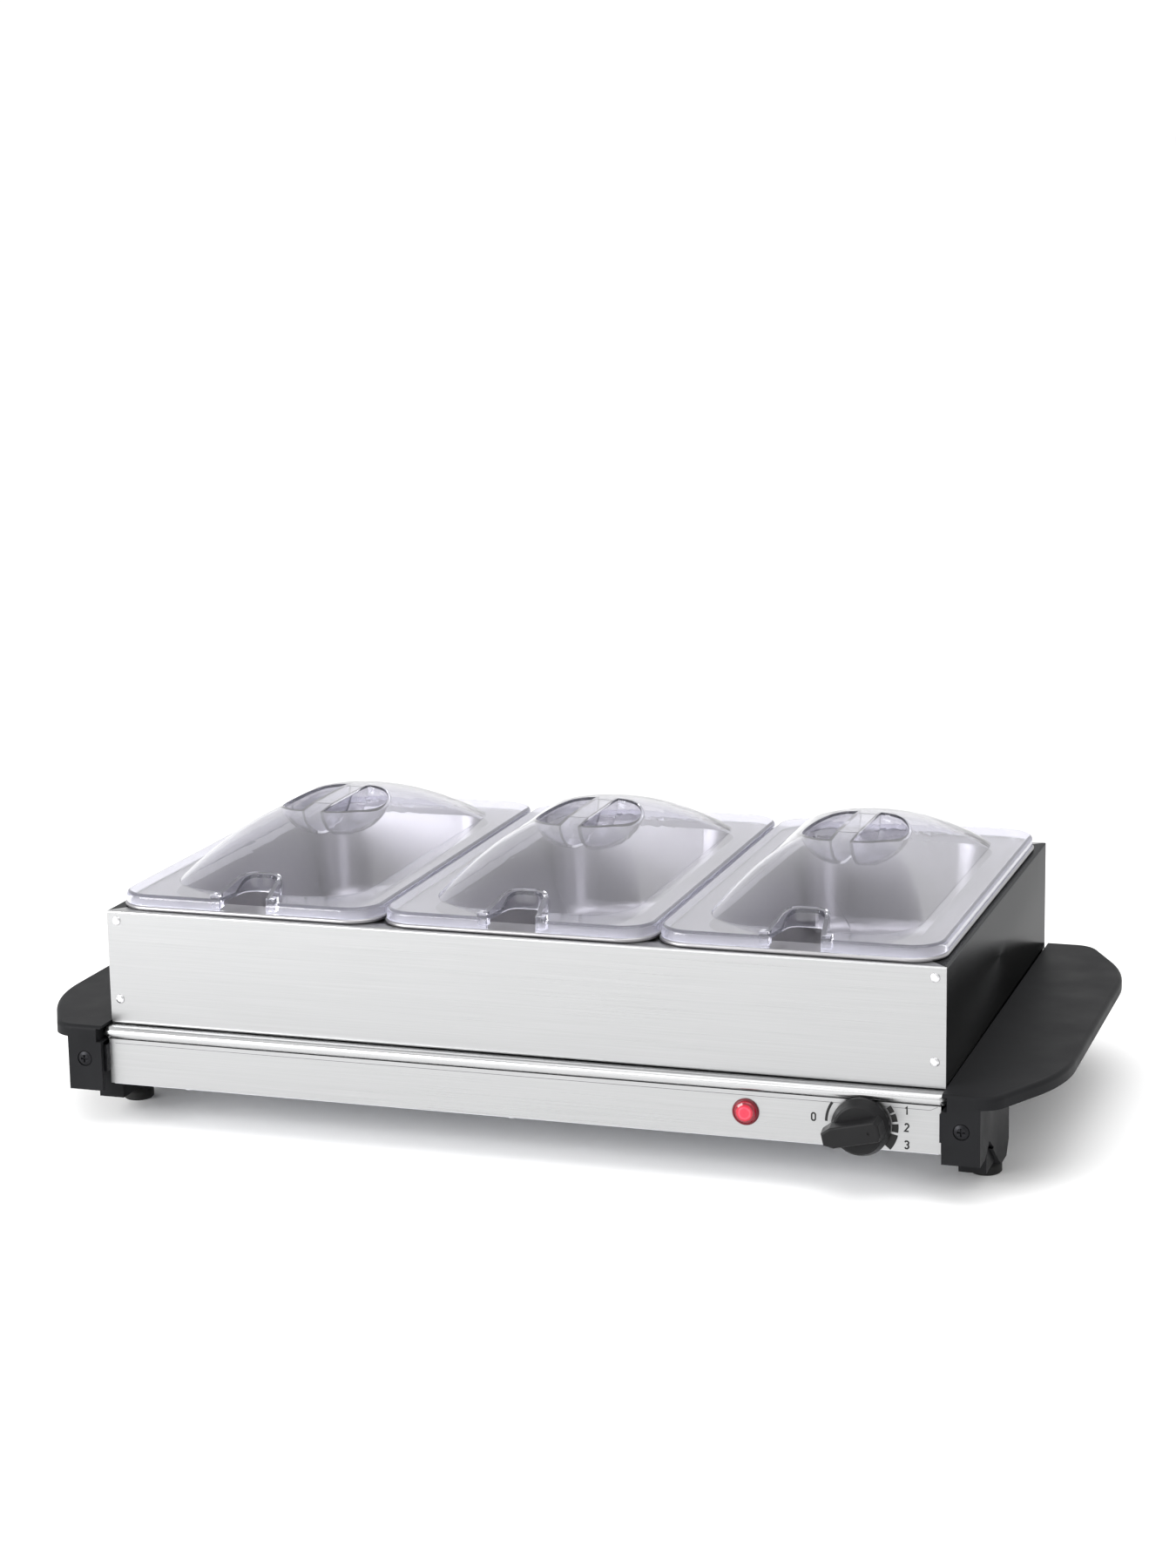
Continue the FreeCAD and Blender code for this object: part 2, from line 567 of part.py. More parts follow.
def heater():
    """Mica board, element, reflector and insulation, pressed to the plate by straps."""
    def sheet_of(name, half_w, half_d, low, high):
        y = (f"Dims.base_y - {half_d}", f"Dims.base_y + {half_d}")
        node(box(name, (f"-{half_w}", f"{half_w}"), y, (low, high)), name)

    under = "Dims.plate_top - Dims.plate_skin"
    sheet_of("heater_board", 205, 125, f"{under} - 0.9", f"{under} - 0.1")
    sheet_of("reflector_tray", 208, 128, f"{under} - 4.2", f"{under} - 3.6")
    sheet_of("insulation_mat", 206, 126, f"{under} - 10.4", f"{under} - 4.3")

    # The element runs to and fro across the board in one wire.
    rows, pitch, reach, level = 8, 29.0, 180.0, size("plate_top") - size("plate_skin") - 2.2
    first = size("base_y") - pitch * (rows - 1) / 2
    edges = []
    for row in range(rows):
        y = first + row * pitch
        heading = 1 if row % 2 == 0 else -1
        start, stop = Vector(-heading * reach, y, level), Vector(heading * reach, y, level)
        edges.append(Part.LineSegment(start, stop).toShape())
        if row < rows - 1:
            bulge = Vector(heading * (reach + pitch / 2), y + pitch / 2, level)
            edges.append(Part.Arc(stop, bulge, stop + Vector(0, pitch, 0)).toShape())
    element = doc.addObject("Part::Feature", "heating_element")
    element.Shape = tube(edges, 1.0)
    node(element, "heating_element")

    straps = []
    low = f"{under} - 11.8"
    for x in (-130, 0, 130):
        strap = body("strap")
        profile = sketch(strap, "YZ_Plane", f"{x} - 9")
        ledge = "Dims.base_top - Dims.sheet - 0.1"
        a, b = f"{FRONT} + 4", f"{FRONT} + 17"
        c, d = f"{REAR} - 17", f"{REAR} - 4"
        polygon(profile, [
            (a, f"{ledge} - 1.2"), (f"{b} - 1.2", f"{ledge} - 1.2"), (f"{b} - 1.2", low), (f"{c} + 1.2", low),
            (f"{c} + 1.2", f"{ledge} - 1.2"), (d, f"{ledge} - 1.2"), (d, ledge), (c, ledge),
            (c, f"{low} + 1.2"), (b, f"{low} + 1.2"), (b, ledge), (a, ledge)])
        pad(strap, profile, "18")
        straps.append(strap)
    group = doc.addObject("Part::Compound", "element_straps")
    group.Links = straps
    node(group, "element_straps")


def tube(edges, radius):
    """A round wire along connected tangent lines and arcs."""
    path = Part.Wire(edges)
    start = path.Edges[0].valueAt(path.Edges[0].FirstParameter)
    along = path.Edges[0].tangentAt(path.Edges[0].FirstParameter)
    ring = Part.Wire([Part.makeCircle(radius, start, along)])
    return path.makePipeShell([ring], True, False)


def lead(points, radius):
    """An insulated lead through hand-set points, its corners turned by tangent arcs."""
    edges = []
    start = points[0]
    for corner, after in zip(points[1:-1], points[2:]):
        before, beyond = start - corner, after - corner
        turn = math.pi - before.getAngle(beyond)
        trim = 0.45 * min(before.Length, beyond.Length)
        entry = corner + before.normalize() * trim
        leave = corner + beyond.normalize() * trim
        inward = (before + beyond).normalize()
        arc_r = trim / math.tan(turn / 2)
        middle = corner + inward * (arc_r / math.cos(turn / 2) - arc_r)
        edges.append(Part.LineSegment(start, entry).toShape())
        edges.append(Part.Arc(entry, middle, leave).toShape())
        start = leave
    edges.append(Part.LineSegment(start, points[-1]).toShape())
    return tube(edges, radius)


# ---- warming unit: electrics -----------------------------------------------------------

def controls():
    """Thermostat, its bracket, the knob, and the indicator lamp."""
    back = f"{FRONT} + Dims.sheet"
    x, z = "Dims.knob_x", "Dims.knob_z"
    casing = box("casing", (f"{x} - 15", f"{x} + 15"), (f"{back} + 9", f"{back} + 27"),
                 (f"{z} - 10", f"{z} + 10"))
    bore = cylinder("casing_bore", "Dims.shaft_r + 0.2", "40", (x, f"{back} + 40", z), TO_FRONT)
    node(cut("thermostat_body", casing, bore), "thermostat_body")

    bracket = body("thermostat_bracket")
    hat = sketch(bracket, "XY_Plane", "Dims.knob_z - 8")
    arm, deep = 16.4, 20
    polygon(hat, [
        (f"{x} - {arm}", back), (f"{x} + {arm}", back), (f"{x} + {arm}", f"{back} + {deep}"),
        (f"{x} + {arm} - 1.2", f"{back} + {deep}"), (f"{x} + {arm} - 1.2", f"{back} + 1.2"),
        (f"{x} - {arm} + 1.2", f"{back} + 1.2"), (f"{x} - {arm} + 1.2", f"{back} + {deep}"),
        (f"{x} - {arm}", f"{back} + {deep}")])
    pad(bracket, hat, "16")
    holes = sketch(bracket, "XZ_Plane", f"-({back})")
    circle(holes, x, z, "4.2")
    circle(holes, f"{x} - 9.5", z, "1.6")
    circle(holes, f"{x} + 9.5", z, "1.6")
    pocket(bracket, holes, "4", Midplane=True)
    node(bracket, "thermostat_bracket")
    screw = small_screw("thermostat_screw", "2.4", "1.4", "1.5", "5")
    copies("thermostat_screws", screw,
           [((f"{x} {sign} 9.5", FRONT, z), TO_FRONT) for sign in ("-", "+")])

    shaft = body("thermostat_shaft")
    revolve(shaft, [("0", "0"), ("Dims.shaft_r", "0"), ("Dims.shaft_r", "42"), ("0", "42")])
    flat = sketch(shaft, "XY_Plane", "42")
    rectangle(flat, "-4", "4", "Dims.shaft_r - 1.1", "4")
    pocket(shaft, flat, "13")
    place(shaft, x, f"{back} + 26", z, turn=KNOB_SET)
    node(shaft, "thermostat_shaft")

    knob = control_knob()
    place(knob, x, f"{FRONT} - Dims.knob_gap", z, turn=KNOB_SET)
    node(knob, "control_knob")
    clip = body("clip")
    leaf = sketch(clip, "XY_Plane", "5")
    rectangle(leaf, "-1.5", "1.5", "Dims.shaft_r - 0.9", "Dims.shaft_r - 0.45")
    pad(clip, leaf, "8")
    place(clip, x, f"{FRONT} - Dims.knob_gap", z, turn=KNOB_SET)
    node(clip, "knob_spring_clip")


def control_knob():
    """A round skirt with a bar across it that points to the setting; hollow at the back."""
    knob = body("knob")
    revolve(knob, [
        ("3.2", "0.4"), ("5.4", "0.4"), ("5.4", "4.6"), ("13.8", "4.6"), ("13.8", "0"),
        ("Dims.knob_r", "0"), ("Dims.knob_r", "3.2"), ("Dims.knob_r - 0.6", "4.6"),
        ("Dims.knob_r - 2.2", "8.6"), ("Dims.knob_r - 3.4", "9.4"), ("0", "9.4"), ("0", "7"), ("3.2", "7")])
    bar = sketch(knob, "XY_Plane", "7.4")
    tip = "Dims.knob_r"
    polygon(bar, [
        (f"-{tip} - 3", "-4"), (f"-{tip} + 3", "-6.6"), (f"{tip} - 3.4", "-6.6"), (f"{tip} - 1.4", "-3.6"),
        (f"{tip} - 1.4", "3.6"), (f"{tip} - 3.4", "6.6"), (f"-{tip} + 3", "6.6"), (f"-{tip} - 3", "4")])
    pad(knob, bar, "Dims.knob_tall - 7.4", TaperAngle=-5)
    top = size("knob_tall")
    soften(knob, "1.3", lambda edge: near(edge.ZMin, top) and near(edge.ZMax, top))
    primitive("SubtractiveCylinder", knob, "knob_bore", None, ("0", "0", "0.2"), Radius="3.2", Height="15")
    primitive("SubtractiveCylinder", knob, "knob_dot", None, ("8.2", "0", "Dims.knob_tall - 0.5"),
              Radius="0.9", Height="1")
    return knob


def lamp():
    """The red indicator: bezel, lens, body, spring nut and neon tube."""
    spot = ("Dims.lamp_x", FRONT, "Dims.lamp_z")
    rings = {
        "indicator_bezel": [("6.4", "0"), ("Dims.lamp_r", "0"), ("Dims.lamp_r", "0.7"),
                            ("Dims.lamp_r - 0.5", "1.3"), ("6.4", "1.5")],
        "indicator_nut": [("6", "-5"), ("9", "-5"), ("9", "-0.9"), ("6", "-0.9")],
        "indicator_body": [("3", "-22"), ("5.9", "-22"), ("5.9", "-7"), ("5.9", "-0.2"), ("4.8", "-0.2"),
                           ("4.8", "-7"), ("3", "-7")],
        "neon_tube": [("0", "-20"), ("2.2", "-20"), ("2.2", "-7"), ("1.4", "-5.6"), ("0", "-5.2")],
    }
    for label, points in rings.items():
        piece = body(f"{label}_body")
        revolve(piece, points)
        place(piece, *spot, turn=TO_FRONT)
        node(piece, label)
    lens = body("lens")
    revolve(lens, [("0", "-4"), ("4.7", "-4"), ("4.7", "0.1"), ("6.3", "0.1"), ("6.3", "1.4"), ("5.7", "2.3"),
                   ("4.4", "3"), ("2.4", "3.4"), ("0", "3.5")])
    soften(lens, "0.5", lambda edge: near(edge.ZMin, 2.3) and near(edge.ZMax, 2.3))
    place(lens, *spot, turn=TO_FRONT)
    node(lens, "indicator_lens")


def mains_entry():
    """Cord bush, terminal block, earth stud, thermal cut-out and the leads."""
    bush = body("bush")
    revolve(bush, [
        ("Dims.bush_bore", "-9"), ("8.2", "-9"), ("8.2", "-Dims.sheet - 0.1"), ("6.3", "-Dims.sheet - 0.1"),
        ("6.3", "0.1"), ("8.8", "0.1"), ("8.8", "3"), ("7.8", "4"), ("6.4", "Dims.bush_out"),
        ("Dims.bush_bore", "Dims.bush_out")])
    place(bush, "Dims.bush_x", REAR, "Dims.bush_z", turn=TO_BACK)
    node(bush, "cord_bush")

    floor = "Dims.base_low"
    block = box("block", ("145", "189"), (f"{REAR} - 42", f"{REAR} - 26"), (floor, f"{floor} + 15"))
    bites = fuse("block_mouths", [
        cylinder("mouth", "2.4", "40", (f"{x}", f"{REAR} - 14", f"{floor} + 7.5"), TO_FRONT)
        for x in (152, 167, 182)])
    node(cut("terminal_block", block, bites), "terminal_block")

    stud = body("stud")
    revolve(stud, [("0", "0"), ("4", "0"), ("4", "1.2"), ("2", "1.2"), ("2", "13"), ("0", "13")])
    place(stud, "212", f"{REAR} - 40", floor)
    node(stud, "earth_stud")
    nut = body("nut")
    outline = sketch(nut, "XY_Plane", "3")
    polygon(outline, [(f"{4.2 * math.cos(math.radians(60 * i)):.4f}",
                       f"{4.2 * math.sin(math.radians(60 * i)):.4f}") for i in range(6)])
    pad(nut, outline, "3.2")
    primitive("SubtractiveCylinder", nut, "nut_bore", None, ("0", "0", "2"), Radius="2.1", Height="6")
    place(nut, "212", f"{REAR} - 40", floor)
    node(nut, "earth_nut")

    cutout = body("cutout")
    under = "Dims.plate_top - Dims.plate_skin"
    revolve(cutout, [
        ("0", "-9"), ("7.6", "-9"), ("7.6", "-2"), ("9.5", "-2"), ("9.5", "-0.6"), ("7.6", "-0.6"),
        ("7.6", "-0.1"), ("0", "-0.1")])
    place(cutout, "226", "40", under)
    node(cutout, "thermal_cutout")

    back, front = size("base_y") + size("base_d") / 2, size("base_y") - size("base_d") / 2
    z = size("base_low") + 7.5
    routes = [
        [Vector(182, back - 34, z), Vector(183, back - 120, z), Vector(205, back - 210, z + 1),
         Vector(204, front + 28, z + 5)],
        [Vector(167, back - 34, z), Vector(166, back - 110, z), Vector(140, back - 200, z + 2),
         Vector(138.6, front + 22.2, z + 7)],
        [Vector(152, back - 34, z), Vector(153, back - 80, z), Vector(214, back - 112, z + 2),
         Vector(226, 40.0, z + 15)],
    ]
    group = doc.addObject("Part::Feature", "internal_leads")
    group.Shape = Part.makeCompound([lead(route, 1.1) for route in routes])
    node(group, "internal_leads")


# ---- pan frame ---------------------------------------------------------------------------

def frame_face(name, face, inward):
    """The frame's front or rear: a tall sheet, folded above and below, mitred at its ends."""
    panel = body(name)
    half = "Dims.frame_w / 2"
    wall = sketch(panel, "YZ_Plane")
    inner = f"{face} {inward} Dims.sheet"
    top_edge, low_edge = f"{face} {inward} Dims.frame_flange", f"{face} {inward} Dims.frame_foot"
    polygon(wall, [
        (face, "Dims.frame_low"), (low_edge, "Dims.frame_low"), (low_edge, "Dims.frame_low + Dims.sheet"),
        (inner, "Dims.frame_low + Dims.sheet"), (inner, "Dims.frame_top - Dims.sheet"),
        (top_edge, "Dims.frame_top - Dims.sheet"), (top_edge, "Dims.frame_top"), (face, "Dims.frame_top")])
    pad(panel, wall, "Dims.frame_w", Midplane=True)
    y, low, high = size("frame_y"), size("frame_low"), size("frame_top")
    outer = y - size("frame_d") / 2 if inward == "+" else y + size("frame_d") / 2
    soften(panel, "Dims.frame_bend", lambda edge: near(edge.YMin, outer) and near(edge.YMax, outer)
           and edge.XLength > 100 and (near(edge.ZMin, high) or near(edge.ZMin, low)))
    for side in ("-", ""):
        mitre = sketch(panel, "XY_Plane", "Dims.frame_top + 1")
        sheet_y, edge_y = f"{face} {inward} Dims.sheet", f"{face} {inward} (Dims.frame_flange + 1)"
        end = f"{side}({half} + 1)"
        polygon(mitre, [(end, sheet_y), (f"{side}({half} - Dims.sheet)", sheet_y),
                        (f"{side}({half} - Dims.frame_flange - 1)", edge_y), (end, edge_y)])
        pocket(panel, mitre, "Dims.frame_top - Dims.frame_low + 2")
    rivet_holes(panel)
    return panel


def rivet_holes(panel):
    """Drill a frame panel at every rivet that passes through it."""
    drilled = sketch(panel, "XZ_Plane")
    for side in ("-", ""):
        for level in ("Dims.rivet_low", "Dims.rivet_high"):
            circle(drilled, f"{side}(Dims.frame_w / 2 - Dims.rivet_in)", level, "1.25")
    pocket(panel, drilled, "2 * Dims.frame_d", Midplane=True)


def pan_frame():
    front = frame_face("frame_front", FRAME_FRONT, "+")
    node(front, "frame_front")
    node(frame_face("frame_rear", FRAME_REAR, "-"), "frame_rear")

    # Each side wall has a top fold, and a tab at both ends behind the front and rear sheets.
    for side, name in (("-", "frame_left"), ("", "frame_right")):
        wall = body(name)
        outline = sketch(wall, "XY_Plane", "Dims.frame_low + 1")
        face, inner = f"{side}Dims.frame_w / 2", f"{side}(Dims.frame_w / 2 - Dims.sheet)"
        tab = f"{side}(Dims.frame_w / 2 - 12)"
        low, high = f"{FRAME_FRONT} + Dims.sheet", f"{FRAME_REAR} - Dims.sheet"
        polygon(outline, [
            (face, low), (face, high), (tab, high), (tab, f"{high} - Dims.sheet"),
            (inner, f"{high} - Dims.sheet"), (inner, f"{low} + Dims.sheet"),
            (tab, f"{low} + Dims.sheet"), (tab, low)])
        pad(wall, outline, "Dims.frame_top - Dims.frame_low - 1 - Dims.sheet")
        fold = sketch(wall, "XY_Plane", "Dims.frame_top - Dims.sheet")
        lip = f"{side}(Dims.frame_w / 2 - Dims.frame_flange)"
        polygon(fold, [(face, f"{low} + 0.2"), (face, f"{high} - 0.2"),
                       (lip, f"{FRAME_REAR} - Dims.frame_flange - 0.2"),
                       (lip, f"{FRAME_FRONT} + Dims.frame_flange + 0.2")])
        pad(wall, fold, "Dims.sheet")
        top, outer = size("frame_top"), size("frame_w") / 2
        soften(wall, "Dims.frame_bend", lambda edge: edge.YLength > 100 and near(edge.ZMin, top)
               and near(abs(edge.XMin), outer) and near(abs(edge.XMax), outer))
        rivet_holes(wall)
        node(wall, name)

    # Bars between the pans run under the folds from front to rear.
    for side, label in (("-", "divider_left"), ("", "divider_right")):
        bar = body(label)
        section = sketch(bar, "XZ_Plane", f"-({FRAME_REAR} - Dims.sheet)")
        middle, half = f"{side}Dims.pan_pitch / 2", "Dims.divider_w / 2"
        top = "Dims.frame_top - Dims.sheet"
        low = f"{top} - Dims.divider_tall"
        polygon(section, [
            (f"{middle} - {half}", low), (f"{middle} - {half} + Dims.sheet", low),
            (f"{middle} - {half} + Dims.sheet", f"{top} - Dims.sheet"),
            (f"{middle} + {half} - Dims.sheet", f"{top} - Dims.sheet"),
            (f"{middle} + {half} - Dims.sheet", low), (f"{middle} + {half}", low),
            (f"{middle} + {half}", top), (f"{middle} - {half}", top)])
        pad(bar, section, "Dims.frame_d - 2 * Dims.sheet")
        node(bar, label)

    rivet = body("rivet")
    revolve(rivet, [
        ("0", "-2.4"), ("2", "-2.4"), ("2", "-1.7"), ("1.2", "-1.7"), ("1.2", "0"), ("Dims.rivet_r", "0"),
        ("Dims.rivet_r - 0.3", "0.6"), ("Dims.rivet_r - 1.1", "1"), ("0", "1.1")])
    spots = [((f"{side}(Dims.frame_w / 2 - Dims.rivet_in)", face, level), turn)
             for face, turn in ((FRAME_FRONT, TO_FRONT), (FRAME_REAR, TO_BACK))
             for side in ("-", "") for level in ("Dims.rivet_low", "Dims.rivet_high")]
    copies("frame_rivets", rivet, spots)


# ---- pans and lids -----------------------------------------------------------------------

def bowl(owner, inset, top, floor_r):
    """A tapered block with round corners and a curved floor edge, hanging from a level."""
    block = sketch(owner, "XY_Plane", top)
    corner = f"(Dims.bowl_corner - {inset})"
    rounded(block, f"(Dims.pan_w / 2 - Dims.pan_flange - {inset})",
            f"(Dims.pan_d / 2 - Dims.pan_flange - {inset})", corner)
    pad(owner, block, "Dims.pan_deep", Reversed=True, TaperAngle=-size("pan_draft"))
    floor = min(edge.BoundBox.ZMin for edge in owner.Shape.Edges)
    soften(owner, floor_r, lambda edge: near(edge.ZMin, floor) and near(edge.ZMax, floor))


def pan(label, column):
    """A drawn steel pan: rolled rim, flat flange, sloping walls and a curved floor edge."""
    shell = body(f"{label}_shell")
    half_w, half_d = "Dims.pan_w / 2", "Dims.pan_d / 2"
    rim = sketch(shell, "XY_Plane", "Dims.pan_low")
    rounded(rim, f"({half_w})", f"({half_d})", "Dims.pan_corner")
    pad(shell, rim, "Dims.pan_roll")
    soften(shell, "Dims.pan_roll / 2 - 0.05", lambda edge: edge.ZLength < 0.01)
    flange_low = "(Dims.pan_low + Dims.pan_roll / 2 - Dims.pan_skin / 2)"
    roll_w, roll_d = f"({half_w} - Dims.pan_roll)", f"({half_d} - Dims.pan_roll)"
    for lift, reverse in ((f"{flange_low} + Dims.pan_skin", True), (flange_low, False)):
        recess = sketch(shell, "XY_Plane", lift)
        rounded(recess, roll_w, roll_d, "(Dims.pan_corner - Dims.pan_roll)")
        pocket(shell, recess, "Dims.pan_roll", Reversed=reverse)
    bowl(shell, "0", flange_low, "Dims.bowl_floor")
    room = body(f"{label}_room")
    bowl(room, "Dims.pan_skin", f"{flange_low} + Dims.pan_skin", "Dims.bowl_floor - Dims.pan_skin")
    dish = cut(label, shell, room)
    place(dish, f"{column} * Dims.pan_pitch", "Dims.pan_y")
    return node(dish, label)


def round_ring(half_w, half_d, radius, level):
    """A closed wire: a rectangle with round corners, starting on its right side."""
    sides, arcs = [], []
    for i, (x, y) in enumerate(((1, 1), (-1, 1), (-1, -1), (1, -1))):
        middle = Vector(x * (half_w - radius), y * (half_d - radius), level)
        spokes = [Vector(math.cos(a), math.sin(a), 0) * radius
                  for a in (math.radians(90 * i + step) for step in (0, 45, 90))]
        arcs.append([middle + spoke for spoke in spokes])
    edges = []
    for i, points in enumerate(arcs):
        edges.append(Part.LineSegment(arcs[i - 1][2], points[0]).toShape())
        edges.append(Part.Arc(*points).toShape())
    return Part.Wire(edges)


def round_slab(half_w, half_d, radius, low, high):
    return Part.Face(round_ring(half_w, half_d, radius, low)).extrude(Vector(0, 0, high - low))


def dome(half_w, half_d, level, tall):
    """A cushion-shaped dome, flatter and rounder in plan towards its top, which leans rearward."""
    rings = []
    for share in (1.0, 0.88, 0.74, 0.58, 0.4, 0.2):
        corner = half_w * share * min(1.75 - 1.21 * share, 0.96)
        ring = round_ring(half_w * share, half_d * share, corner, level + tall * (1 - share ** 2.7))
        ring.translate(Vector(0, 3 * (1 - share), 0))
        rings.append(ring)
    return Part.makeLoft(rings, True, False)


def egg(middle, half_w, half_d, half_tall):
    """An ellipsoid about a point."""
    stretch = Matrix()
    stretch.scale(half_w, half_d, half_tall)
    stretch.move(middle)
    return Part.makeSphere(1.0).transformGeometry(stretch)


def finger_well(side, level, extra):
    """Half an egg beside the grip bar, or the same grown by the lid's wall."""
    bar = size("grip_bar") / 2
    halves = [half + extra for half in (size("well_w"), size("well_d") / 2, size("well_deep"))]
    hollow = egg(Vector(side * bar, -2, level), *halves)
    inner = bar - extra
    return hollow.common(Part.makeBox(100, 200, 200, Vector(inner if side > 0 else -inner - 100, -100, 50)))


def notch_prism(extra, low, high):
    """The spoon notch, or the notch grown by its rib: narrower and rounded at its inner end."""
    edge = -size("lid_d") / 2
    front, back = size("notch_front") / 2 + extra, size("notch_back") / 2 + extra
    inner, bend = edge + size("notch_deep") + extra, 7.0 + extra
    outline = Part.makePolygon([
        Vector(-front, edge - 2, low), Vector(front, edge - 2, low), Vector(back, inner, low),
        Vector(-back, inner, low), Vector(-front, edge - 2, low)])
    prism = Part.Face(outline).extrude(Vector(0, 0, high - low))
    corners = [line for line in prism.Edges if upright(line.BoundBox) and near(line.BoundBox.YMin, inner)]
    return prism.makeFillet(bend, corners)


def lid_shape():
    """A clear lid: skirt, flat flange, dome, two finger wells with a bar, notch and rib."""
    half_w, half_d, corner = size("lid_w") / 2, size("lid_d") / 2, size("lid_corner")
    low, skin, flange = size("lid_low"), size("lid_skin"), size("lid_flange")
    step, tall = low + size("lid_skirt"), size("dome_tall")
    slab = round_slab(half_w, half_d, corner, low, step)
    rim = [line for line in slab.Edges if near(line.BoundBox.ZMin, step)]
    outside = slab.makeFillet(2.6, rim).fuse(dome(half_w - flange, half_d - flange, step, tall))
    inside = round_slab(half_w - skin, half_d - skin, corner - skin, low - 1, step - skin)
    inside = inside.fuse(dome(half_w - flange - skin / 2, half_d - flange - skin / 2, step - skin, tall))
    for side in (-1, 1):
        outside = outside.cut(finger_well(side, step + tall, 0))
        inside = inside.cut(finger_well(side, step + tall, skin))
    shell = outside.cut(inside).cut(notch_prism(0, low - 2, step + tall))

    edge, rib, deep = -half_d, size("notch_rib"), size("notch_deep")
    ring = notch_prism(rib, step - skin, step + tall).cut(notch_prism(0, step - skin - 1, step + tall + 1))
    wedge = Part.Face(Part.makePolygon([
        Vector(-40, edge + 0.4, step - skin), Vector(-40, edge + deep + rib, step - skin),
        Vector(-40, edge + deep + rib, step + 9.6), Vector(-40, edge + 0.4, step + 2.2),
        Vector(-40, edge + 0.4, step - skin)])).extrude(Vector(80, 0, 0))
    lid = shell.fuse(ring.common(wedge))
    for side in (-1, 1):
        inner = size("notch_front") / 2
        post = Part.makeBox(5.4, 6.5, size("lid_skirt") + 1.2, Vector(0, edge + 0.4, low + 1.2))
        post.translate(Vector(inner - 0.4 if side > 0 else -inner - 5.0, 0, 0))
        lid = lid.fuse(post.cut(notch_prism(0, low - 2, step + tall)))
    return lid.removeSplitter()


for column, side in ((-1, "left"), (0, "centre"), (1, "right")):
    pan(f"pan_{side}", column)
cover = lid_shape()
for column, side in ((-1, "left"), (0, "centre"), (1, "right")):
    lid = doc.addObject("Part::Feature", f"lid_{side}")
    lid.Shape = cover
    place(lid, f"{column} * Dims.pan_pitch", "Dims.pan_y")
    node(lid, f"lid_{side}")

warming_plate()
base_box()
bottom_plate()
end_handles()
handle_brackets()
feet()
heater()
controls()
lamp()
mains_entry()
pan_frame()
doc.recompute()

for item in doc.Objects:
    if "Invalid" in item.State or "Error" in item.State:
        raise RuntimeError(f"{item.Name} failed: {item.State}")
for piece in NODES:
    if piece.Shape.isNull() or not piece.Shape.isValid():
        raise RuntimeError(f"{piece.Label} has no valid shape")

os.makedirs("parts", exist_ok=True)
for piece in NODES:
    piece.Shape.exportStep(f"parts/{piece.Label}.step")
    bounds = piece.Shape.BoundBox
    print(f"{piece.Label}: {bounds.XMin:.1f}..{bounds.XMax:.1f} {bounds.YMin:.1f}..{bounds.YMax:.1f} "
          f"{bounds.ZMin:.1f}..{bounds.ZMax:.1f}  solids {len(piece.Shape.Solids)}")
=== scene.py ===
"""An electric buffet server: three steel pans with clear lids on a heated base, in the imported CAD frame."""

import json
import math

import bmesh
import bpy
from mathutils import Matrix, Vector


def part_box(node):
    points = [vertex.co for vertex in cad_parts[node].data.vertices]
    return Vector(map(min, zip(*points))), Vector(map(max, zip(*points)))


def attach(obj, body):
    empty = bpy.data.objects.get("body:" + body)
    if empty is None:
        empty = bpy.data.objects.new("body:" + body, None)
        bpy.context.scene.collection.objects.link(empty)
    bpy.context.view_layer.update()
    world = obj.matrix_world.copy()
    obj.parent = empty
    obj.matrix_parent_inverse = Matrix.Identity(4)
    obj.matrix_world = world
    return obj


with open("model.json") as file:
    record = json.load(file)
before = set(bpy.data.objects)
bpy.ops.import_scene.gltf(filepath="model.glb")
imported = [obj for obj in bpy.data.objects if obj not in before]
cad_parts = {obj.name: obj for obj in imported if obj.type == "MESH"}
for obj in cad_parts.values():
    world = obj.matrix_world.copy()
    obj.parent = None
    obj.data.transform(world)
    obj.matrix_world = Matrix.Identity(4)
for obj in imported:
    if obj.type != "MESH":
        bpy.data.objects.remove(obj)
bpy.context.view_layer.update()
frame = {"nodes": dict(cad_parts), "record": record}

nodes = frame["nodes"]


# ---------------------------------------------------------------- shader nodes


